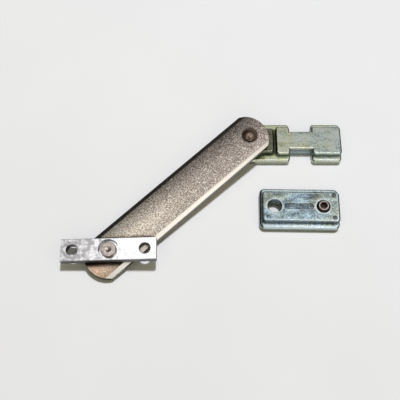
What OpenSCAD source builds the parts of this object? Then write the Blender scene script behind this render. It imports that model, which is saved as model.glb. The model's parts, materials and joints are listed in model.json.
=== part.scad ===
// Tilt window stay: a notched slider for a window frame groove, a swinging
// flat arm, a fixing block on the arm's far end, and a loose groove keeper.
// Millimetres. The origin is the arm's pivot axis at the slider's underside,
// +X runs along the slider to its notched end and +Z is up.

/* [Groove section] */
// Width of the base that runs under the groove's lips
base_w = 20; // [18:0.1:24]
// Height of the base under the lips
base_h = 3.8; // [3:0.1:5]
// Width of the neck that rises between the lips
neck_w = 15; // [13:0.1:16]
// Height of the neck above the base
neck_h = 2.7; // [2:0.1:4]
// Rounding along the top edges of the castings
cast_edge_r = 0.8; // [0.2:0.05:0.9]

/* [Slider] */
// Pivot axis to the notched end
slider_reach = 44.3; // [40:0.1:60]
// Pivot axis to the plain end under the arm
slider_tail = 8.4; // [8.2:0.1:14]
// Plan rounding of the slider's corners
slider_corner_r = 1.6; // [1:0.1:2.4]
// Pivot axis to the near end of the neck
neck_start = 12.9; // [12.2:0.05:14]
// Pivot axis to the near side of the notches
notch_start = 19.6; // [18.5:0.1:24]
// Length of the two notches
notch_l = 10.6; // [6:0.1:12]
// Width of the waist left between the notches
waist_w = 9.5; // [6:0.1:12]
// Width of the raised pad under the arm
pad_w = 13; // [10:0.1:14]
// Pivot axis to the pad's side towards the neck
pad_reach = 11.9; // [8:0.1:12]
// Pivot axis to the pad's far side
pad_tail = 7.4; // [6:0.1:8]
// Height of the arm's seat above the top of the neck
seat_rise = 0.5; // [0.3:0.05:2.5]
// Diameter of the round boss that the arm sits on
boss_d = 7.6; // [6.5:0.1:9]

/* [Arm] */
// Distance between the arm's two rivets
arm_span = 85.7; // [70:0.1:160]
// Width of the flat bar
arm_w = 20.2; // [16:0.1:23]
// Thickness of the flat bar
arm_t = 4; // [3:0.1:5]
// Plan radius of the bar's ends
arm_end_r = 12; // [11.8:0.1:20]
// Slider rivet to the near end of the bar
arm_head = 8.7; // [7:0.1:11]
// Block rivet to the far end of the bar
arm_foot = 12.4; // [8:0.1:16]
// Radius of the bar's crowned upper face
arm_crown_r = 50; // [40:1:200]
// Width of the bevel along the bar's two upper long edges
arm_bevel_w = 2; // [1:0.1:2.6]
// Height of that bevel
arm_bevel_h = 0.7; // [0.4:0.05:0.9]
// Rounding of the bar's remaining edges
arm_edge_r = 0.4; // [0.2:0.05:0.45]
// How far the slider rivet sits off the bar's middle line
arm_offset = 0.6; // [0:0.1:2]
// How far the arm is swung out from the slider's line
arm_swing = 41.7; // [0:0.1:70]

/* [Rivets] */
// Diameter of both rivet shanks
shank_d = 5; // [4:0.1:6]
// Diameter of the domed heads
dome_d = 7.2; // [6.6:0.1:8]
// Height of the domed heads
dome_h = 1.6; // [1.2:0.1:3]
// Diameter of the spread tail under the slider
tail_d = 7.4; // [6.6:0.1:9]
// Depth of the spread tail
tail_h = 1.3; // [0.8:0.1:2]
// How far the tail ends above the slider's underside
tail_sink = 0.2; // [0.1:0.05:0.5]
// Diameter of the flat set head in the fixing block
set_head_d = 7; // [6.4:0.1:8]
// How far the set head ends below the block's face
set_head_sink = 0.1; // [0:0.05:0.6]
// Rounding round the set head's rim
set_head_edge_r = 0.4; // [0.2:0.05:0.6]
// Diameter of the dimple left in the set head
dimple_d = 2.8; // [1.5:0.1:4]
// Depth of that dimple
dimple_depth = 0.5; // [0.2:0.05:0.8]

/* [Fixing block] */
// Length of the block
block_l = 43; // [40:0.1:70]
// Width of the block
block_w = 10.4; // [10.3:0.1:16]
// Thickness of the block
block_h = 3.8; // [3.4:0.1:8]
// Rounding along the block's long edges
block_edge_r = 0.3; // [0.1:0.05:0.6]
// Distance between the two fixing holes
block_pitch = 32.8; // [26:0.1:34]
// Diameter of the fixing holes
block_hole_d = 5.4; // [4:0.1:6.5]
// Diameter of the recess for the rivet's set head
recess_d = 9.3; // [8.6:0.1:9.6]
// Depth of that recess
recess_depth = 1.9; // [1.5:0.1:2.5]
// How far the block is turned from the arm's line
block_turn = 41; // [0:0.1:180]

/* [Keeper] */
// Length of the keeper
keeper_l = 36.9; // [36:0.1:50]
// Plan rounding of the keeper's base
keeper_corner_r = 2.5; // [1.6:0.1:3]
// Ledge left on the base at the keeper's plain end
keeper_ledge = 1; // [0.5:0.1:2]
// Length of the lead-in slope at that end of the keeper's neck
neck_lead_w = 1; // [0.6:0.1:1.2]
// Fall of that slope
neck_lead_h = 0.25; // [0.15:0.05:0.4]
// Distance between the fixing hole and the set screw
keeper_pitch = 22.5; // [21:0.1:24]
// Set screw's axis to the flush end of the keeper
keeper_screw_inset = 7.6; // [7:0.05:10]
// Diameter of the fixing hole
keeper_hole_d = 6.4; // [5:0.1:7]
// Length of the plain sunk panel between the holes
panel_l = 13.2; // [8:0.1:13.8]
// Width of that panel
panel_w = 2.7; // [2:0.1:6]
// Depth of that panel
panel_depth = 0.4; // [0.3:0.05:0.8]
// Chamfer round the panel and the mouths of both holes
mouth_chamfer = 0.25; // [0.1:0.05:0.25]
// Diameter of the four ejector pin marks
mark_d = 2.5; // [1.5:0.1:3]
// Depth of the two marks at the keeper's flush end
mark_depth = 0.4; // [0.1:0.05:0.6]
// Those marks to the flush end
mark_inset = 2.6; // [2.2:0.1:4]
// Shallow ejector marks to the far end of the keeper's neck
far_mark_inset = 2.8; // [2.5:0.1:3.5]
// Depth of those shallow marks
far_mark_depth = 0.15; // [0.05:0.05:0.4]
// Distance between the two marks at each end
mark_pitch = 11.2; // [10:0.1:11.6]
// Where the loose keeper lies, along the slider
keeper_x = 22.6; // [20:0.1:60]
// Where the loose keeper lies, in front of the slider
keeper_y = -34.7; // [-60:0.1:-30]
// How far the loose keeper is turned from the slider's line
keeper_turn = -0.9; // [-20:0.1:20]

/* [Set screw] */
// Thread diameter of the set screw
screw_d = 6; // [5:0.1:7]
// Length of the set screw
screw_l = 5; // [4:0.1:5.6]
// Its underside above the keeper's underside
screw_lift = 2.7; // [0:0.1:3]
// Size across the flats of its hexagon socket
socket_af = 3; // [2:0.1:3.5]
// Depth of the socket
socket_depth = 2.2; // [1:0.1:2.5]
// Chamfer round both ends of the screw
screw_chamfer = 0.8; // [0.3:0.05:1.1]

/* [Clearances] */
// Between a rivet shank and the hole that turns on it
running_gap = 0.06; // [0.03:0.01:0.1]
// Between a rivet or screw and the hole that holds it
seat_gap = 0.02; // [0.01:0.01:0.05]
// Between faces that slide over each other
face_gap = 0.1; // [0.05:0.01:0.2]

/* [Hidden] */
$fn = 64;
// Overlap that lets a cut run clear past a face
cut = 1;

section_h = base_h + neck_h;
shank_r = shank_d / 2;
dome_r = dome_d / 2;
boss_r = boss_d / 2;
notch_end = notch_start + notch_l;

// The domed heads are caps of one sphere
dome_sphere_r = (dome_r * dome_r + dome_h * dome_h) / (2 * dome_h);

// Play in the slider's pivot lets the arm sink until the domed head under
// its far end meets the surface that the slider stands on
seat_z = section_h + seat_rise;
dome_rise = dome_sphere_r - dome_h;
tilt_reach = arm_span - boss_r;
tilt_drop = seat_z + face_gap - dome_sphere_r;
arm_tilt = asin(tilt_drop / norm([tilt_reach, dome_rise])) + atan(dome_rise / tilt_reach);

// Underside of the arm on the pivot axis, clear of the boss's rim
arm_z = seat_z + face_gap + boss_r * sin(arm_tilt);
// The pad stays under the tilted arm out to its far corners
pad_z = arm_z - norm([pad_tail, pad_w / 2]) * tan(arm_tilt) - face_gap;
// The domed head stays over the arm's high side
slider_head_z = arm_z + arm_t / cos(arm_tilt) + dome_r * tan(arm_tilt) + face_gap;
// An upright shank leans by this much in the tilted arm's hole
shank_lean = arm_t * tan(arm_tilt);

block_z = arm_t + face_gap;
recess_z = block_z + block_h - recess_depth;
set_head_z = recess_z + face_gap;
set_head_h = block_z + block_h - set_head_sink - set_head_z;

keeper_end = keeper_l / 2;
screw_x = keeper_end - keeper_screw_inset;
hole_x = screw_x - keeper_pitch;

// Section of a bar that stands on y = 0 with rounded upper edges
module bar_section(w, h, edge_r) {
    translate([-w / 2, 0])
        square([w, h - edge_r]);
    translate([edge_r - w / 2, 0])
        square([w - 2 * edge_r, h]);
    for (side = [-1, 1])
        translate([side * (w / 2 - edge_r), h - edge_r])
            circle(edge_r);
}

// Section of a bar that stands on y = 0 with all four edges rounded
module round_section(w, h, edge_r) {
    translate([-w / 2, edge_r])
        square([w, h - 2 * edge_r]);
    translate([edge_r - w / 2, 0])
        square([w - 2 * edge_r, h]);
    for (side = [-1, 1], edge_y = [edge_r, h - edge_r])
        translate([side * (w / 2 - edge_r), edge_y])
            circle(edge_r);
}

// Half section of a disc with a rounded upper rim, for turning about Z
module disc_section(r, h, edge_r) {
    square([r, h - edge_r]);
    square([r - edge_r, h]);
    translate([r - edge_r, h - edge_r])
        circle(edge_r);
}

// Cast slab from x0 to x1 with rounded corners and rounded upper edges
module cast_slab(x0, x1, w, h, corner_r, edge_r = cast_edge_r) {
    l = x1 - x0;
    translate([(x0 + x1) / 2, 0, 0]) {
        translate([corner_r - l / 2, 0, 0])
            rotate([90, 0, 90])
                linear_extrude(l - 2 * corner_r)
                    bar_section(w, h, edge_r);
        translate([0, w / 2 - corner_r, 0])
            rotate([90, 0, 0])
                linear_extrude(w - 2 * corner_r)
                    bar_section(l, h, edge_r);
        for (quarter = [0:3])
            translate([
                (quarter == 0 || quarter == 3 ? 1 : -1) * (l / 2 - corner_r),
                (quarter < 2 ? 1 : -1) * (w / 2 - corner_r),
                0
            ])
                rotate([0, 0, 90 * quarter])
                    rotate_extrude(angle = 90)
                        disc_section(corner_r, h, edge_r);
    }
}

// Base and neck of the groove section, ending flush at x1
module groove_block(x0, x1, neck_x0, corner_r, neck_corner_r) {
    cast_slab(x0, x1, base_w, base_h, corner_r);
    cast_slab(neck_x0, x1, neck_w, section_h, neck_corner_r);
}

// Half section of a domed head that stands on y = 0
module dome_section() {
    intersection() {
        translate([0, -dome_rise])
            circle(dome_sphere_r);
        square([dome_r, dome_h + cut]);
    }
}

// Places children on the arm: underside at z = 0, middle line on +X
module on_arm() {
    translate([0, 0, arm_z])
        rotate([0, arm_tilt, 180 + arm_swing])
            translate([0, -arm_offset, 0])
                children();
}

// Places children on the block's centre, on the arm's upper face
module on_block() {
    on_arm()
        translate([arm_span, 0, block_z])
            rotate([0, 0, -block_turn])
                children();
}

// Cut for the mouth of a round hole in the keeper's top
module round_mouth(r) {
    translate([0, 0, section_h - mouth_chamfer])
        cylinder(h = mouth_chamfer, r1 = r, r2 = r + mouth_chamfer);
}

// Cut for the keeper's sunk panel, with its chamfered rim
module panel_cut() {
    straight_l = panel_l - panel_w;
    panel_r = panel_w / 2;
    translate([0, 0, section_h - panel_depth])
        linear_extrude(panel_depth + cut) {
            square([straight_l, panel_w], center = true);
            for (side = [-1, 1])
                translate([side * straight_l / 2, 0])
                    circle(panel_r);
        }
    for (side = [-1, 1])
        translate([side * straight_l / 2, 0, 0])
            round_mouth(panel_r);
    translate([-straight_l / 2, 0, section_h - mouth_chamfer])
        rotate([90, 0, 90])
            linear_extrude(straight_l)
                polygon([
                    [-panel_r, 0],
                    [panel_r, 0],
                    [panel_r + mouth_chamfer, mouth_chamfer],
                    [-panel_r - mouth_chamfer, mouth_chamfer]
                ]);
}

// Cut for the lead-in slope at the end of a neck that starts at x = 0
module lead_cut() {
    lead_slope = neck_lead_h / neck_lead_w;
    translate([0, 0, section_h])
        rotate([90, 0, 0])
            linear_extrude(neck_w + 2 * cut, center = true)
                polygon([
                    [neck_lead_w + cut, lead_slope * cut],
                    [-cut, cut],
                    [-cut, -neck_lead_h - lead_slope * cut]
                ]);
}

// Places children on the loose keeper's centre, on the surface
module on_keeper() {
    translate([keeper_x, keeper_y, 0])
        rotate([0, 0, keeper_turn])
            children();
}

module slider() {
    waist_run = notch_l + 2 * slider_corner_r;
    color("#a3ac9d")
        difference() {
            union() {
                groove_block(-slider_tail, notch_start, neck_start, slider_corner_r, slider_corner_r);
                groove_block(notch_end, slider_reach, notch_end, slider_corner_r, slider_corner_r);
                translate([notch_start - slider_corner_r, 0, 0])
                    rotate([90, 0, 90])
                        linear_extrude(waist_run)
                            bar_section(waist_w, section_h, cast_edge_r);
                cast_slab(-pad_tail, pad_reach, pad_w, pad_z, slider_corner_r);
                cylinder(h = seat_z, r = boss_r);
            }
            translate([0, 0, -cut])
                cylinder(h = seat_z + 2 * cut, r = shank_r + seat_gap);
            translate([0, 0, -cut])
                cylinder(h = cut + tail_sink, r = tail_d / 2 + seat_gap);
            translate([0, 0, tail_sink])
                cylinder(h = tail_h, r1 = tail_d / 2 + seat_gap, r2 = shank_r + seat_gap);
        }
}

module slider_rivet() {
    color("#6e5c50") {
        translate([0, 0, tail_sink])
            cylinder(h = slider_head_z - tail_sink, r = shank_r);
        translate([0, 0, tail_sink])
            cylinder(h = tail_h, r1 = tail_d / 2, r2 = shank_r);
        translate([0, 0, slider_head_z])
            rotate_extrude()
                dome_section();
    }
}

// Round end of the bar with its rim broken
module bar_end() {
    rotate_extrude()
        intersection() {
            round_section(2 * arm_end_r, arm_t, arm_edge_r);
            square([arm_end_r, arm_t]);
        }
}

// Section of the bar: crowned top, bevelled upper edges, broken lower edges
module bar_profile() {
    bevel_x = arm_w / 2 - arm_bevel_w;
    bevel_z = arm_t - arm_crown_r + sqrt(pow(arm_crown_r, 2) - pow(bevel_x, 2));
    intersection() {
        round_section(arm_w, arm_t, arm_edge_r);
        translate([0, arm_t - arm_crown_r])
            circle(arm_crown_r);
        polygon([
            [-arm_w / 2, 0],
            [arm_w / 2, 0],
            [arm_w / 2, bevel_z - arm_bevel_h],
            [0, bevel_z + bevel_x * arm_bevel_h / arm_bevel_w],
            [-arm_w / 2, bevel_z - arm_bevel_h]
        ]);
    }
}

module arm() {
    head_x = arm_end_r - arm_head;
    foot_x = arm_span + arm_foot - arm_end_r;
    color("#a3978a")
        on_arm()
            difference() {
                intersection() {
                    translate([-arm_head - cut, 0, 0])
                        rotate([90, 0, 90])
                            linear_extrude(arm_head + arm_span + arm_foot + 2 * cut)
                                bar_profile();
                    union() {
                        for (end_x = [head_x, foot_x])
                            translate([end_x, 0, 0])
                                bar_end();
                        translate([head_x, -arm_w, 0])
                            cube([foot_x - head_x, 2 * arm_w, arm_t]);
                    }
                }
                translate([-shank_lean / 2, arm_offset, -cut])
                    cylinder(h = arm_t + 2 * cut, r = shank_r + shank_lean / 2 + running_gap);
                translate([arm_span, 0, -cut])
                    cylinder(h = arm_t + 2 * cut, r = shank_r + seat_gap);
            }
}

module block_rivet() {
    color("#a59a92")
        on_arm()
            translate([arm_span, 0, 0])
                difference() {
                    union() {
                        cylinder(h = set_head_z, r = shank_r);
                        mirror([0, 0, 1])
                            rotate_extrude()
                                dome_section();
                        translate([0, 0, set_head_z])
                            rotate_extrude()
                                disc_section(set_head_d / 2, set_head_h, set_head_edge_r);
                    }
                    translate([0, 0, set_head_z + set_head_h - dimple_depth])
                        cylinder(h = dimple_depth, r1 = 0, r2 = dimple_d / 2);
                }
}

module fixing_block() {
    color("#d9d9dc")
        on_block()
            difference() {
                translate([-block_l / 2, 0, 0])
                    rotate([90, 0, 90])
                        linear_extrude(block_l)
                            round_section(block_w, block_h, block_edge_r);
                for (side = [-1, 1])
                    translate([side * block_pitch / 2, 0, -cut])
                        cylinder(h = block_h + 2 * cut, d = block_hole_d);
                translate([0, 0, -cut])
                    cylinder(h = block_h + 2 * cut, r = shank_r + running_gap);
                translate([0, 0, block_h - recess_depth])
                    cylinder(h = recess_depth + cut, d = recess_d);
            }
}

module keeper() {
    thread_r = screw_d / 2 + seat_gap;
    neck_x0 = keeper_ledge - keeper_end;
    color("#a9b4b2")
        on_keeper()
            difference() {
                groove_block(-keeper_end, keeper_end, neck_x0, keeper_corner_r, slider_corner_r);
                translate([neck_x0, 0, 0])
                    lead_cut();
                translate([hole_x, 0, -cut])
                    cylinder(h = section_h + 2 * cut, d = keeper_hole_d);
                translate([hole_x, 0, 0])
                    round_mouth(keeper_hole_d / 2);
                translate([screw_x, 0, -cut])
                    cylinder(h = section_h + 2 * cut, r = thread_r);
                translate([screw_x, 0, 0])
                    round_mouth(thread_r);
                translate([(hole_x + screw_x) / 2, 0, 0])
                    panel_cut();
                for (side = [-1, 1]) {
                    translate([keeper_end - mark_inset, side * mark_pitch / 2, section_h - mark_depth])
                        cylinder(h = mark_depth + cut, d = mark_d);
                    translate([neck_x0 + far_mark_inset, side * mark_pitch / 2, section_h - far_mark_depth])
                        cylinder(h = far_mark_depth + cut, d = mark_d);
                }
            }
}

module keeper_set_screw() {
    screw_r = screw_d / 2;
    color("#5c5048")
        on_keeper()
            translate([screw_x, 0, screw_lift])
                difference() {
                    union() {
                        cylinder(h = screw_chamfer, r1 = screw_r - screw_chamfer, r2 = screw_r);
                        translate([0, 0, screw_chamfer])
                            cylinder(h = screw_l - 2 * screw_chamfer, r = screw_r);
                        translate([0, 0, screw_l - screw_chamfer])
                            cylinder(h = screw_chamfer, r1 = screw_r, r2 = screw_r - screw_chamfer);
                    }
                    translate([0, 0, screw_l - socket_depth])
                        cylinder(h = socket_depth + cut, r = socket_af / 2 / cos(30), $fn = 6);
                }
}

slider();
slider_rivet();
arm();
block_rivet();
fixing_block();
keeper();
keeper_set_screw();
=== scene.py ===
"""Looks of the tilt window stay: plated, cast and sawn metal on a pale table under a soft lamp."""
import json
import math
from typing import NamedTuple

import bpy
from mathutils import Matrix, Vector


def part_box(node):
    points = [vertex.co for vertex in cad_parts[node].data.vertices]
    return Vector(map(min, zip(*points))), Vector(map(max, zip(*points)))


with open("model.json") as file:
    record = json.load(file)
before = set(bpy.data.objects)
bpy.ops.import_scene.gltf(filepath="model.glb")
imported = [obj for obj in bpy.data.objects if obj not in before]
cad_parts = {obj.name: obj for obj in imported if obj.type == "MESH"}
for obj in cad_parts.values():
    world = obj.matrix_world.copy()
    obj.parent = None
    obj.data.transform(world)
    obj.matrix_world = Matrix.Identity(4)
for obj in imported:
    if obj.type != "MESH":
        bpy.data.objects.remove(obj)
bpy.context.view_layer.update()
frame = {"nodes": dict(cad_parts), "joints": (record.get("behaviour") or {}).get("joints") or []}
nodes = frame["nodes"]
joints = {joint["name"]: joint for joint in frame["joints"]}

MM = 0.001
UP = Vector((0.0, 0.0, 1.0))
RIGHT = Vector((1.0, 0.0, 0.0))
BACK = Vector((0.0, 1.0, 0.0))
WHITE = (1.0, 1.0, 1.0)

# Ranges that values are mapped from and to
RISE = (0.0, 1.0)
FALL = (1.0, 0.0)
NOISE_SPREAD = (0.3, 0.7)


class Lamp(NamedTuple):
    """A round lamp over the middle of the view: the metal mirrors it, or else it lights the table."""
    slope: Vector
    distance: float
    size: float
    power: float
    colour: tuple
    mirrored: bool


class Casting(NamedTuple):
    """Finish of a zinc casting: a film from one place to another, tints by height with painted light on
    the ledges, painted light and shade on the walls, painted shade at its plain end, painted edge
    highlights.
    """
    film: list
    film_start: Vector
    film_end: Vector
    mottle: float
    # Tones by height, brighter on the ledges as a painted reflection
    tones: list
    # Painted light and shade on the walls, by height
    walls: list
    # Colour of the painted edge highlights
    edge_highlight: tuple
    brightest: tuple
    # Position up to which the plain end gets painted shade
    end_shade_to: float
    rim: float


class Steel(NamedTuple):
    """Finish of plain steel: two tones of its stains, and the painted shade on its sides."""
    dark: tuple
    light: tuple
    roughness: float
    side_shade: float


# Camera, in the part's frame
IMAGE_PX = 400
FOCAL_PX = 731.1
SENSOR_MM = 36.0
CLIP_START = 10 * MM
VIEW_ELEVATION = math.radians(66.3)
VIEW_DISTANCE = 346 * MM
VIEW_TARGET = Vector((-23.63 * MM, -28.78 * MM, 0.0))

# A lamp overhead that casts the shadows, and three dim ones that the metal mirrors
LAMPS = {
    "lamp": Lamp(
        slope=Vector((0.10, 0.20, 1.0)),
        distance=1.50,
        size=0.16,
        power=17.1,
        colour=(0.984, 1.0, 1.105),
        mirrored=False,
    ),
    "softbox": Lamp(
        slope=Vector((-0.19, 0.17, 1.0)),
        distance=0.75,
        size=0.26,
        power=0.16,
        colour=WHITE,
        mirrored=True,
    ),
    "panel": Lamp(
        slope=Vector((0.28, -0.18, 0.94)),
        distance=0.60,
        size=0.29,
        power=0.28,
        colour=WHITE,
        mirrored=True,
    ),
    "edge_light": Lamp(
        slope=Vector((0.33, 0.20, 1.0)),
        distance=0.32,
        size=0.06,
        power=0.018,
        colour=WHITE,
        mirrored=True,
    ),
}

# Room: light by the cosine to its bright side, a warm tint on the table, and a pale horizon
# that the metal mirrors on all sides but the far left
ROOM_BRIGHT_SIDE = Vector((0.06, -0.25, 0.965))
ROOM_LEVELS = [
    (0.20, 0.03),
    (0.50, 0.06),
    (0.66, 0.14),
    (0.72, 0.50),
    (0.78, 0.65),
    (0.84, 0.61),
    (0.89, 0.55),
    (0.93, 0.35),
    (0.96, 0.18),
    (1.00, 0.12),
]
ROOM_ON_TABLE = (1.05, 1.0, 0.72)
HORIZON_SIDE = Vector((0.665, -0.747, 0.0))
HORIZON_TURN = (-0.9, -0.6)
HORIZON_HEIGHT = (0.2, 0.6)
HORIZON_LEVEL = 0.35
BACKDROP = (0.82, 0.82, 0.81)

# Table
TABLE_SIZE = 3.0
TABLE_DROP = 0.02 * MM
TABLE_COLOUR = (0.80, 0.80, 0.79)
TABLE_MOTTLE = 60 * MM
TABLE_ROUGHNESS = 0.9
TABLE_SPECULAR = 0.1

# Relief of the fine noise on all metals but the arm's
BUMP_STRENGTH = 0.4

# The arm's line, from the slider's rivet to the block's, and across its bevel on the lower right
ARM_START = Vector(joints["arm_swing"]["pos_m"])
ARM_END = Vector(joints["block_swing"]["pos_m"])
ARM_UP = Vector(joints["block_swing"]["axis"])
ARM_SIDE = ARM_UP.cross(ARM_END - ARM_START).normalized()
BEVEL_START = ARM_START + ARM_SIDE * 7.5 * MM
BEVEL_END = ARM_START + ARM_SIDE * 9.5 * MM

# Nickel on the arm. Its tones run from the slider's rivet to the tip, given in rivet spans;
# they pale towards the block, a tint of the plate and in part a painted reflection.
# The bevel's painted light runs outwards on the lower right, and the other bevel has its first,
# darkest tone as painted shade
ARM_TIP = 1.1
ARM_TONES = [
    (0.0, (0.50, 0.42, 0.37)),
    (0.45, (0.57, 0.48, 0.41)),
    (0.85, (0.95, 0.78, 0.61)),
    (1.0, (0.77, 0.53, 0.38)),
]
PAINTED_BEVEL_LIGHT = [
    (0.0, (0.36, 0.32, 0.27)),
    (0.45, (0.73, 0.68, 0.60)),
    (1.0, (0.73, 0.68, 0.60)),
]
ARM_ROUGHNESS = (0.24, 0.31)
FLAT_FACING = (0.955, 0.975)
# Sides of the bar, darker by their sheared finish and in part by painted shade
ARM_WALL_FACING = (0.30, 0.80)
ARM_WALL_TONE = 0.12
CLOUD_GRAIN = 7 * MM
CLOUD_TONE = (0.92, 1.08)

# Its grain, whose peaks carry painted glints, weaker towards the tip
ARM_GRAIN = 0.55 * MM
ARM_GRAIN_DEPTH = 0.05 * MM
GLINT_PEAKS = (0.35, 0.75)
GLINT_POWER = 2.0
GLINT_TONE = (-0.45, 2.4)
GLINT_LIMIT = (0.0, 3.0)
GLINT_FADE = (0.9, 1.05)
GLINT_FADED = 0.5

# Painted shade next to the block and the rivets: on the flat, and on all of it
PAINTED_SHADE_REACH = 4 * MM
FLAT_PAINTED_SHADE = (0.05, 0.5)
FLAT_PAINTED_SHADE_TONE = 0.08
ARM_PAINTED_SHADE = (0.3, 0.9)
ARM_PAINTED_SHADE_TONE = 0.45

# Film and skin of the castings
FILM_GRAIN = 7 * MM
FILM_DETAIL = 3.0
FILM_DRIFT = (-0.4, 0.4)
SPECKLE_GRAIN = 0.7 * MM
PATCH_GRAIN = 2.5 * MM
PATCH_DETAIL = 4.0
PATCH_STRETCH = 2.5
SKIN_GRAIN = 2.4 * MM
SKIN_DETAIL = 3.0
SKIN_DEPTH = 0.08 * MM
SKIN_ROUGHNESS = (0.22, 0.34)

# Painted shade on the slider's pad under the arm, and in the slot beside it
PAD_SHADE_END = 13.45 * MM
PAD_SHADE_HALF_W = 7.2 * MM
PAD_SHADE_TONE = 0.28

# Painted highlights on the castings' outer edges, where they face up or to the front
EDGE_OPENNESS = (0.65, 0.96)
EDGE_BACK = (0.0, 0.2)
EDGE_END = (0.15, 0.5)

# Inner corners of all parts, by how open they are, where shade is painted
CORNER_OPENNESS = (0.45, 0.95)

# Painted shade on the castings: in slots and inner corners, on faces to the ends and at the plain end;
# the walls get painted light and shade
SLOT_REACH = 2.5 * MM
SLOT_DEPTH = (0.8, 1.0)
SLOT_SHADE = 0.45
CORNER_REACH = 1.2 * MM
CORNER_SHADE = 0.8
END_FACING = (0.1, 0.45)
END_FACE_SHADE = 0.12
END_SHADE_WIDTH = 1.4 * MM
END_SHADE_FADE = 0.3 * MM
END_SHADE_TONE = 0.15
WALL_FACING = (0.05, 0.35)

# The slider's waist, whose walls get paler painted light than the others
WAIST_HALF_W = 6 * MM
WAIST_FACING = (0.6, 0.9)
WAIST_WALLS = [
    (0.5 * MM, (0.55, 0.70, 0.74)),
    (3.0 * MM, (0.25, 0.31, 0.30)),
    (3.9 * MM, (0.15, 0.19, 0.18)),
    (6.0 * MM, (0.14, 0.17, 0.15)),
]

# The two castings, and a height over both that their tints are scaled by
CASTING_TOP = 8 * MM
SLIDER = Casting(
    film=[
        (0.0, (0.95, 0.97, 0.65)),
        (0.35, (0.93, 0.98, 0.73)),
        (0.7, (0.85, 1.0, 0.91)),
        (1.0, (0.86, 1.0, 0.94)),
    ],
    film_start=Vector((10, 6, 0)) * MM,
    film_end=Vector((44, -6, 0)) * MM,
    mottle=0.35,
    # Tones by height: brighter on the ledge, a painted reflection
    tones=[
        (2.6 * MM, (1.5, 1.5, 1.4)),
        (3.6 * MM, (1.30, 1.30, 1.00)),
        (4.1 * MM, (1.30, 1.30, 1.00)),
        (5.5 * MM, (1.0, 1.0, 1.0)),
    ],
    # Painted light and shade on the walls, by height
    walls=[
        (0.3 * MM, (0.55, 0.58, 0.54)),
        (2.6 * MM, (0.27, 0.29, 0.20)),
        (3.9 * MM, (0.06, 0.09, 0.08)),
        (6.0 * MM, (0.09, 0.12, 0.10)),
    ],
    edge_highlight=(1.0, 0.98, 0.72),
    brightest=(0.95, 1.0, 0.93),
    end_shade_to=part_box("slider")[0][0] + END_SHADE_WIDTH,
    rim=0.8 * MM,
)
KEEPER = Casting(
    film=[
        (0.0, (0.54, 0.61, 0.49)),
        (0.3, (0.45, 0.59, 0.69)),
        (0.65, (0.35, 0.42, 0.43)),
        (1.0, (0.48, 0.51, 0.42)),
    ],
    film_start=Vector((10, -25, 0)) * MM,
    film_end=Vector((35, -44, 0)) * MM,
    mottle=0.62,
    # Tones by height: brighter on the ledges, a painted reflection, and darker just under the top
    tones=[
        (2.6 * MM, (1.5, 1.5, 1.5)),
        (3.6 * MM, (2.0, 2.1, 2.2)),
        (4.1 * MM, (2.0, 2.1, 2.2)),
        (5.5 * MM, (1.0, 1.0, 1.0)),
        (5.9 * MM, (0.45, 0.45, 0.45)),
        (6.2 * MM, (0.45, 0.45, 0.45)),
        (6.42 * MM, (1.05, 1.08, 1.10)),
    ],
    # Painted light and shade on the walls, by height
    walls=[
        (0.3 * MM, (0.42, 0.46, 0.42)),
        (2.6 * MM, (0.21, 0.24, 0.20)),
        (3.9 * MM, (0.04, 0.07, 0.09)),
        (6.0 * MM, (0.07, 0.11, 0.14)),
    ],
    edge_highlight=(0.86, 0.98, 1.0),
    brightest=(0.84, 0.97, 1.0),
    end_shade_to=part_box("keeper")[0][0] + END_SHADE_WIDTH,
    rim=1.6 * MM,
)

# Aluminium of the fixing block: smears, a painted reflection that pales its right half, and painted
# shade on its sides and in its holes
BLOCK_HALF = Vector((21.5 * MM, 0.0, 0.0))
BLOCK_TONES = [(0.36, (0.42, 0.40, 0.41)), (0.58, (0.84, 0.83, 0.84))]
BLOCK_REFLECTION_SPAN = (0.3, 0.7)
BLOCK_REFLECTION_RISE = (-0.05, 0.18)
BLOCK_SIDE_FACING = (0.20, 0.80)
BLOCK_SIDE_SHADE = 0.22
BLOCK_ROUGHNESS = (0.50, 0.22)
SMEAR_GRAIN = 2.0 * MM
SMEAR_DETAIL = 6.0
SCRATCH_GRAIN = 0.4 * MM
HOLE_REACH = 3.0 * MM
HOLE_DEPTH = (0.2, 0.9)
HOLE_SHADE = 0.35
RECESS_EDGE = (4.8 * MM, 4.9 * MM)

# Steel of the rivets and the set screw
BROWN_STEEL = Steel(dark=(0.24, 0.16, 0.12), light=(0.48, 0.36, 0.27), roughness=0.26, side_shade=0.65)
GREY_STEEL = Steel(dark=(0.58, 0.50, 0.45), light=(0.78, 0.69, 0.62), roughness=0.34, side_shade=0.8)
STAIN_GRAIN = 1.2 * MM
STAIN_DETAIL = 4.0
STAIN_EDGES = (0.35, 0.65)
STAIN_ROUGHNESS = 0.06
STEEL_GRAIN = 0.3 * MM
STEEL_FACING = (0.80, 0.97)
DIMPLE_REACH = 2.0 * MM
DIMPLE_DEPTH = (0.1, 0.6)
DIMPLE_SHADE = 0.15
FINE_DEPTH = 0.01 * MM

# The set screw's end, and the painted highlight on the rim of its face
SCREW_LOW, SCREW_HIGH = (Vector(corner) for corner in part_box("keeper_set_screw"))
SCREW_HIGHLIGHT_RING = (1.75 * MM, 2.0 * MM)
SCREW_DARK = (0.12, 0.085, 0.07)
SCREW_HIGHLIGHT = (0.98, 0.84, 0.76)
SCREW_STAIN = (0.7, 1.3)
SCREW_WALL_FACING = (0.5, 0.8)
SCREW_SIDE_SHADE = 0.25
SCREW_ROUGHNESS = (0.36, 0.26)


def add(tree, kind, inputs=None, **settings):
    """Adds a node. An input is a value, or another node's output to link."""
    node = tree.nodes.new(kind)
    for key, value in settings.items():
        setattr(node, key, value)
    for key, value in (inputs or {}).items():
        if isinstance(value, bpy.types.NodeSocket):
            tree.links.new(value, node.inputs[key])
        else:
            node.inputs[key].default_value = value
    return node


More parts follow.
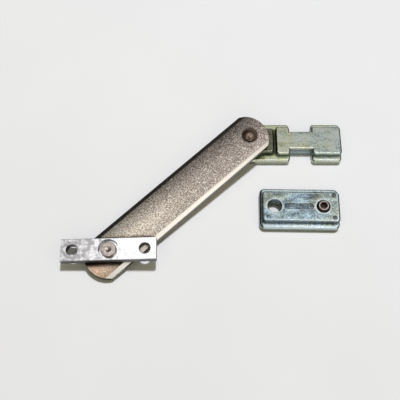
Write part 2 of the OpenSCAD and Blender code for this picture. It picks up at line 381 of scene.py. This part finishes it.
def scalar(tree, operation, *values):
    """Result of an operation on values."""
    return add(tree, "ShaderNodeMath", dict(enumerate(values)), operation=operation).outputs["Value"]


def vector(tree, operation, *vectors):
    """Vector that an operation on vectors gives."""
    node = add(tree, "ShaderNodeVectorMath", dict(enumerate(vectors)), operation=operation)
    return node.outputs["Vector"]


def measure(tree, operation, *vectors):
    """Value that an operation on vectors gives."""
    node = add(tree, "ShaderNodeVectorMath", dict(enumerate(vectors)), operation=operation)
    return node.outputs["Value"]


def component(tree, of, axis):
    """A vector's X, Y or Z."""
    return add(tree, "ShaderNodeSeparateXYZ", {"Vector": of}).outputs[axis]


def place(tree):
    """Position on the part, in metres."""
    return add(tree, "ShaderNodeTexCoord").outputs["Object"]


def noise(tree, position, grain, detail=2.0):
    """Noise from 0 to 1 with lumps about as large as grain."""
    inputs = {"Vector": position, "Scale": 1.0 / grain, "Detail": detail}
    return add(tree, "ShaderNodeTexNoise", inputs).outputs["Fac"]


def streaks(tree, position, grain, stretch):
    """Noise whose lumps are drawn out along X."""
    drawn = vector(tree, "MULTIPLY", position, (1.0 / stretch, 1.0, 1.0))
    return noise(tree, drawn, grain, PATCH_DETAIL)


def remap(tree, value, source, target):
    """Maps the source range of a value on the target range."""
    inputs = {
        "Value": value,
        "From Min": source[0],
        "From Max": source[1],
        "To Min": target[0],
        "To Max": target[1],
    }
    return add(tree, "ShaderNodeMapRange", inputs).outputs["Result"]


def multiply(tree, first, second):
    """Product of two values."""
    return scalar(tree, "MULTIPLY", first, second)


def below(tree, value, limit):
    """1 where a value is below a limit, 0 elsewhere."""
    return scalar(tree, "LESS_THAN", value, limit)


def ramp(tree, value, stops):
    """Colours a value by stops of (position, colour)."""
    node = add(tree, "ShaderNodeValToRGB", {"Fac": value})
    elements = node.color_ramp.elements
    while len(elements) < len(stops):
        elements.new(1.0)
    for element, (position, colour) in zip(elements, stops):
        element.position = position
        element.color = (*colour, 1.0)
    return node.outputs["Color"]


def blend(tree, factor, first, second):
    """Goes from the first colour to the second by a factor."""
    node = add(tree, "ShaderNodeMix", data_type="RGBA")
    sockets = {socket.identifier: socket for socket in node.inputs}
    tree.links.new(factor, sockets["Factor_Float"])
    for key, colour in {"A_Color": first, "B_Color": second}.items():
        if isinstance(colour, bpy.types.NodeSocket):
            tree.links.new(colour, sockets[key])
        else:
            sockets[key].default_value = (*colour, 1.0)
    return next(socket for socket in node.outputs if socket.identifier == "Result_Color")


def shade(tree, colour, value, source, target):
    """Multiplies a colour by a value mapped on a brightness range."""
    inputs = {0: colour, "Scale": remap(tree, value, source, target)}
    return add(tree, "ShaderNodeVectorMath", inputs, operation="SCALE").outputs["Vector"]


def along(tree, position, start, end):
    """How far a position lies from start (0) to end (1)."""
    line = end - start
    offset = vector(tree, "SUBTRACT", position, start)
    return measure(tree, "DOT_PRODUCT", offset, line / line.length_squared)


def off_middle(tree, position):
    """How far a position lies from the slider's middle plane."""
    return scalar(tree, "ABSOLUTE", component(tree, position, "Y"))


def off_axis(tree, position, centre, axis):
    """How far a position lies from an axis."""
    offset = vector(tree, "SUBTRACT", position, centre)
    return measure(tree, "LENGTH", vector(tree, "CROSS_PRODUCT", offset, axis))


def towards(tree, axis):
    """1 on faces of the part that look along an axis, 0 on those beside it, -1 on the others."""
    normal = add(tree, "ShaderNodeTexCoord").outputs["Normal"]
    return measure(tree, "DOT_PRODUCT", normal, axis)


def facing(tree, axis):
    """1 on faces of the part that look along an axis or against it, 0 on those beside it."""
    return scalar(tree, "ABSOLUTE", towards(tree, axis))


def edges(tree, reach):
    """Where highlights are painted: 1 on the part's outer edges, 0 beyond reach of them and on faces to
    the back or the ends.
    """
    node = add(tree, "ShaderNodeAmbientOcclusion", {"Distance": reach}, inside=True, only_local=True)
    near = remap(tree, node.outputs["AO"], EDGE_OPENNESS, FALL)
    front = multiply(tree, near, remap(tree, towards(tree, BACK), EDGE_BACK, FALL))
    return multiply(tree, front, remap(tree, facing(tree, RIGHT), EDGE_END, FALL))


def corners(tree, reach, alone=True):
    """Where shade is painted: 1 deep in the part's inner corners, and under other parts unless alone, 0
    in the open.
    """
    node = add(tree, "ShaderNodeAmbientOcclusion", {"Distance": reach}, only_local=alone)
    return remap(tree, node.outputs["AO"], CORNER_OPENNESS, FALL)


def by_height(tree, position, stops):
    """Colours a casting by stops of (height over the table, colour)."""
    level = remap(tree, component(tree, position, "Z"), (0.0, CASTING_TOP), RISE)
    return ramp(tree, level, [(z / CASTING_TOP, colour) for z, colour in stops])


def pad_shade_mask(tree, position):
    """Where shade is painted: 1 on the slider's pad and in the slot beside it, 0 elsewhere."""
    inside = below(tree, off_middle(tree, position), PAD_SHADE_HALF_W)
    return multiply(tree, below(tree, component(tree, position, "X"), PAD_SHADE_END), inside)


def bump(tree, height, depth, strength=BUMP_STRENGTH):
    """Normal of a surface whose height varies by depth."""
    inputs = {"Height": height, "Distance": depth, "Strength": strength}
    return add(tree, "ShaderNodeBump", inputs).outputs["Normal"]


def new_material(name):
    """A material to be finished: itself, its tree and its shader."""
    material = bpy.data.materials.new(name)
    material.use_nodes = True
    return material, material.node_tree, material.node_tree.nodes["Principled BSDF"]


def finish_metal(tree, shader, colour, roughness, normal, brightest=WHITE):
    """Makes a metal of a colour, kept within the brightest one, a roughness and a normal."""
    tree.links.new(vector(tree, "MINIMUM", colour, brightest), shader.inputs["Base Color"])
    tree.links.new(roughness, shader.inputs["Roughness"])
    tree.links.new(normal, shader.inputs["Normal"])
    shader.inputs["Metallic"].default_value = 1.0


def nickel_bar():
    """Nickel plate over a coarse rolled grain with painted glitter and painted shade by the block and
    rivets; smoother bevels with painted light and shade; sheared sides, darker in part by painted shade.
    """
    material, tree, shader = new_material("nickel_bar")
    position = place(tree)
    up = facing(tree, ARM_UP)
    flat = remap(tree, up, FLAT_FACING, RISE)
    grain = noise(tree, position, ARM_GRAIN)
    painted_shade = corners(tree, PAINTED_SHADE_REACH, alone=False)
    # Tones along the arm: a tint of the plate, paler towards the block in part as a painted reflection
    span = along(tree, position, ARM_START, ARM_END)
    colour = ramp(tree, remap(tree, span, (0.0, ARM_TIP), RISE), ARM_TONES)
    colour = shade(tree, colour, noise(tree, position, CLOUD_GRAIN), NOISE_SPREAD, CLOUD_TONE)
    # Painted glints on the grain's peaks of the flat, weaker towards the tip
    painted_glint = scalar(tree, "POWER", remap(tree, grain, GLINT_PEAKS, RISE), GLINT_POWER)
    coarse = multiply(tree, flat, remap(tree, span, GLINT_FADE, (1.0, GLINT_FADED)))
    painted_sparkle = scalar(tree, "MULTIPLY_ADD", remap(tree, painted_glint, RISE, GLINT_TONE), coarse, 1.0)
    colour = shade(tree, colour, painted_sparkle, GLINT_LIMIT, GLINT_LIMIT)
    # Painted shade on the flat next to the block and the rivets
    colour = shade(tree, colour, painted_shade, FLAT_PAINTED_SHADE, (1.0, FLAT_PAINTED_SHADE_TONE))
    # Painted light and shade on the bevels
    bevel = ramp(tree, along(tree, position, BEVEL_START, BEVEL_END), PAINTED_BEVEL_LIGHT)
    colour = blend(tree, flat, bevel, colour)
    # Painted shade on all of the arm next to the block and the rivets
    colour = shade(tree, colour, painted_shade, ARM_PAINTED_SHADE, (1.0, ARM_PAINTED_SHADE_TONE))
    # Darker sides: their sheared finish, and in part painted shade
    colour = shade(tree, colour, up, ARM_WALL_FACING, (ARM_WALL_TONE, 1.0))
    roughness = remap(tree, flat, RISE, ARM_ROUGHNESS)
    finish_metal(tree, shader, colour, roughness, bump(tree, grain, ARM_GRAIN_DEPTH, flat))
    return material


def wall_tints(tree, position, stops):
    """Paints light and shade on a casting's walls by height, and on the slider's waist apart."""
    front = remap(tree, facing(tree, BACK), WAIST_FACING, RISE)
    waist = multiply(tree, front, below(tree, off_middle(tree, position), WAIST_HALF_W))
    walls = by_height(tree, position, stops)
    return blend(tree, waist, walls, by_height(tree, position, WAIST_WALLS))


def passivated_zinc(name, casting):
    """Zinc casting under a thin film of changing tint, with painted highlights on its edges, painted
    shade in its corners and at its ends, and painted light and shade on its walls.
    """
    material, tree, shader = new_material(name)
    position = place(tree)
    mottle = (1.0 - casting.mottle, 1.0 + casting.mottle)
    patches = streaks(tree, position, PATCH_GRAIN, PATCH_STRETCH)
    drift = remap(tree, noise(tree, position, FILM_GRAIN, FILM_DETAIL), NOISE_SPREAD, FILM_DRIFT)
    tint = scalar(tree, "ADD", drift, along(tree, position, casting.film_start, casting.film_end))
    colour = ramp(tree, tint, casting.film)
    colour = shade(tree, colour, noise(tree, position, SPECKLE_GRAIN), NOISE_SPREAD, mottle)
    colour = shade(tree, colour, patches, NOISE_SPREAD, mottle)
    # Painted shade on the slider's pad under the arm and in the slot beside it
    colour = shade(tree, colour, pad_shade_mask(tree, position), RISE, (1.0, PAD_SHADE_TONE))
    # Painted highlights on the outer edges
    colour = blend(tree, edges(tree, casting.rim), colour, casting.edge_highlight)
    # Painted shade in slots and inner corners, and on faces to the ends
    colour = shade(tree, colour, corners(tree, SLOT_REACH), SLOT_DEPTH, (1.0, SLOT_SHADE))
    colour = shade(tree, colour, corners(tree, CORNER_REACH), RISE, (1.0, CORNER_SHADE))
    colour = shade(tree, colour, facing(tree, RIGHT), END_FACING, (1.0, END_FACE_SHADE))
    # Tones by height, the brighter ledges among them a painted reflection
    colour = vector(tree, "MULTIPLY", colour, by_height(tree, position, casting.tones))
    # Painted shade at the plain end
    end_shade = (casting.end_shade_to, casting.end_shade_to + END_SHADE_FADE)
    colour = shade(tree, colour, component(tree, position, "X"), end_shade, (END_SHADE_TONE, 1.0))
    # Painted light and shade on the walls, the waist's apart
    wall = remap(tree, facing(tree, UP), WALL_FACING, FALL)
    colour = blend(tree, wall, colour, wall_tints(tree, position, casting.walls))
    skin = noise(tree, position, SKIN_GRAIN, SKIN_DETAIL)
    roughness = remap(tree, skin, NOISE_SPREAD, SKIN_ROUGHNESS)
    finish_metal(tree, shader, colour, roughness, bump(tree, skin, SKIN_DEPTH), casting.brightest)
    return material


def sawn_aluminium():
    """Mill finish with cloudy smears and fine scratches, a painted reflection paling its right half, and
    painted shade on its sawn sides and in its holes.
    """
    material, tree, shader = new_material("sawn_aluminium")
    position = place(tree)
    up = facing(tree, ARM_UP)
    smear = noise(tree, position, SMEAR_GRAIN, SMEAR_DETAIL)
    # Smears, with a painted reflection paling the right half
    length = along(tree, position, ARM_END - BLOCK_HALF, ARM_END + BLOCK_HALF)
    bright = scalar(tree, "ADD", smear, remap(tree, length, BLOCK_REFLECTION_SPAN, BLOCK_REFLECTION_RISE))
    colour = ramp(tree, bright, BLOCK_TONES)
    # Painted shade on the sides, but not on the rivet's recess
    outside = remap(tree, off_axis(tree, position, ARM_END, ARM_UP), RECESS_EDGE, RISE)
    side = multiply(tree, outside, remap(tree, up, BLOCK_SIDE_FACING, FALL))
    colour = shade(tree, colour, side, RISE, (1.0, BLOCK_SIDE_SHADE))
    # Painted shade in the holes, but not in the rivet's recess
    hole = multiply(tree, outside, corners(tree, HOLE_REACH))
    colour = shade(tree, colour, hole, HOLE_DEPTH, (1.0, HOLE_SHADE))
    roughness = remap(tree, up, BLOCK_SIDE_FACING, BLOCK_ROUGHNESS)
    scratches = noise(tree, position, SCRATCH_GRAIN)
    finish_metal(tree, shader, colour, roughness, bump(tree, scratches, FINE_DEPTH))
    return material


def plain_steel(name, steel):
    """Steel with small stains between two tones, and painted shade on its sides and in its dimple."""
    material, tree, shader = new_material(name)
    position = place(tree)
    stain = noise(tree, position, STAIN_GRAIN, STAIN_DETAIL)
    colour = ramp(tree, stain, list(zip(STAIN_EDGES, (steel.dark, steel.light))))
    # Painted shade on the sides and in the dimple
    colour = shade(tree, colour, facing(tree, UP), STEEL_FACING, (steel.side_shade, 1.0))
    colour = shade(tree, colour, corners(tree, DIMPLE_REACH), DIMPLE_DEPTH, (1.0, DIMPLE_SHADE))
    most_and_least = (steel.roughness + STAIN_ROUGHNESS, steel.roughness - STAIN_ROUGHNESS)
    roughness = remap(tree, stain, NOISE_SPREAD, most_and_least)
    fine = noise(tree, position, STEEL_GRAIN)
    finish_metal(tree, shader, colour, roughness, bump(tree, fine, FINE_DEPTH))
    return material


def socket_screw():
    """Oxide-black set screw, with a painted highlight round the rim of its end face."""
    material, tree, shader = new_material("dark_steel")
    position = place(tree)
    up = facing(tree, UP)
    stain = noise(tree, position, STAIN_GRAIN, STAIN_DETAIL)
    radius = off_axis(tree, position, (SCREW_LOW + SCREW_HIGH) / 2, UP)
    # Painted highlight on the rim of the end face
    face = remap(tree, up, STEEL_FACING, RISE)
    rim = multiply(tree, face, remap(tree, radius, SCREW_HIGHLIGHT_RING, RISE))
    colour = blend(tree, rim, SCREW_DARK, SCREW_HIGHLIGHT)
    colour = shade(tree, colour, stain, NOISE_SPREAD, SCREW_STAIN)
    # Painted shade on the sides
    colour = shade(tree, colour, up, SCREW_WALL_FACING, (SCREW_SIDE_SHADE, 1.0))
    roughness = remap(tree, stain, NOISE_SPREAD, SCREW_ROUGHNESS)
    fine = noise(tree, position, STEEL_GRAIN)
    finish_metal(tree, shader, colour, roughness, bump(tree, fine, FINE_DEPTH))
    return material


def table_top():
    """Pale matt board with a barely visible mottle."""
    material, tree, shader = new_material("table_top")
    mottle = remap(tree, noise(tree, place(tree), TABLE_MOTTLE), NOISE_SPREAD, RISE)
    tree.links.new(blend(tree, mottle, TABLE_COLOUR, BACKDROP), shader.inputs["Base Color"])
    shader.inputs["Roughness"].default_value = TABLE_ROUGHNESS
    shader.inputs["Specular IOR Level"].default_value = TABLE_SPECULAR
    return material


def dress(node_name, material):
    """Gives a solid its finish."""
    for slot in nodes[node_name].material_slots:
        slot.material = material


def build_table():
    """The surface that everything lies on."""
    bpy.ops.mesh.primitive_plane_add(size=TABLE_SIZE, location=(0.0, 0.0, -TABLE_DROP))
    table = bpy.context.object
    table.name = "table"
    table.data.materials.append(table_top())


def build_lamp(name, lamp):
    """Hangs a lamp that the metal mirrors, or one that lights the table."""
    data = bpy.data.lights.new(name, "AREA")
    data.shape = "DISK"
    data.size = lamp.size
    data.energy = lamp.power
    data.color = lamp.colour
    hung = bpy.data.objects.new(name, data)
    bpy.context.scene.collection.objects.link(hung)
    hung.location = VIEW_TARGET + lamp.slope.normalized() * lamp.distance
    hung.rotation_euler = lamp.slope.to_track_quat("Z", "Y").to_euler()
    hung.visible_glossy = lamp.mirrored
    hung.visible_diffuse = not lamp.mirrored


def build_room():
    """Soft room light, and a pale backdrop where the camera sees past the table."""
    world = bpy.data.worlds.new("room")
    bpy.context.scene.world = world
    world.use_nodes = True
    tree = world.node_tree
    path = add(tree, "ShaderNodeLightPath").outputs
    direction = add(tree, "ShaderNodeTexCoord").outputs["Generated"]
    brightest = max(level for _, level in ROOM_LEVELS)
    stops = [(cosine, (level / brightest,) * 3) for cosine, level in ROOM_LEVELS]
    cosine = measure(tree, "DOT_PRODUCT", direction, ROOM_BRIGHT_SIDE.normalized())
    tint = blend(tree, path["Is Diffuse Ray"], WHITE, ROOM_ON_TABLE)
    light = vector(tree, "MULTIPLY", ramp(tree, cosine, stops), tint)
    horizon = (HORIZON_LEVEL / brightest, 0.0)
    low = remap(tree, component(tree, direction, "Z"), HORIZON_HEIGHT, horizon)
    turned = measure(tree, "DOT_PRODUCT", direction, HORIZON_SIDE)
    pale = multiply(tree, low, remap(tree, turned, HORIZON_TURN, RISE))
    light = vector(tree, "ADD", light, multiply(tree, pale, path["Is Glossy Ray"]))
    room = tree.nodes["Background"]
    tree.links.new(light, room.inputs["Color"])
    room.inputs["Strength"].default_value = brightest
    backdrop = add(tree, "ShaderNodeBackground", {"Color": (*BACKDROP, 1.0)})
    inputs = {0: path["Is Camera Ray"], 1: room.outputs["Background"], 2: backdrop.outputs["Background"]}
    mixed = add(tree, "ShaderNodeMixShader", inputs)
    tree.links.new(mixed.outputs["Shader"], tree.nodes["World Output"].inputs["Surface"])


def build_camera():
    """The camera, at the photograph's viewing angle."""
    data = bpy.data.cameras.new("camera")
    data.sensor_width = SENSOR_MM
    data.lens = FOCAL_PX / IMAGE_PX * SENSOR_MM
    data.clip_start = CLIP_START
    camera = bpy.data.objects.new("camera", data)
    bpy.context.scene.collection.objects.link(camera)
    backwards = Vector((0.0, -math.cos(VIEW_ELEVATION), math.sin(VIEW_ELEVATION)))
    camera.location = VIEW_TARGET + backwards * VIEW_DISTANCE
    camera.rotation_euler = backwards.to_track_quat("Z", "Y").to_euler()
    bpy.context.scene.camera = camera


dress("arm", nickel_bar())
dress("slider", passivated_zinc("slider_zinc", SLIDER))
dress("keeper", passivated_zinc("keeper_zinc", KEEPER))
dress("fixing_block", sawn_aluminium())
dress("slider_rivet", plain_steel("brown_steel", BROWN_STEEL))
dress("block_rivet", plain_steel("grey_steel", GREY_STEEL))
dress("keeper_set_screw", socket_screw())

build_table()
for lamp_name, lamp in LAMPS.items():
    build_lamp(lamp_name, lamp)
build_room()
build_camera()
bpy.context.scene.view_settings.view_transform = "Standard"
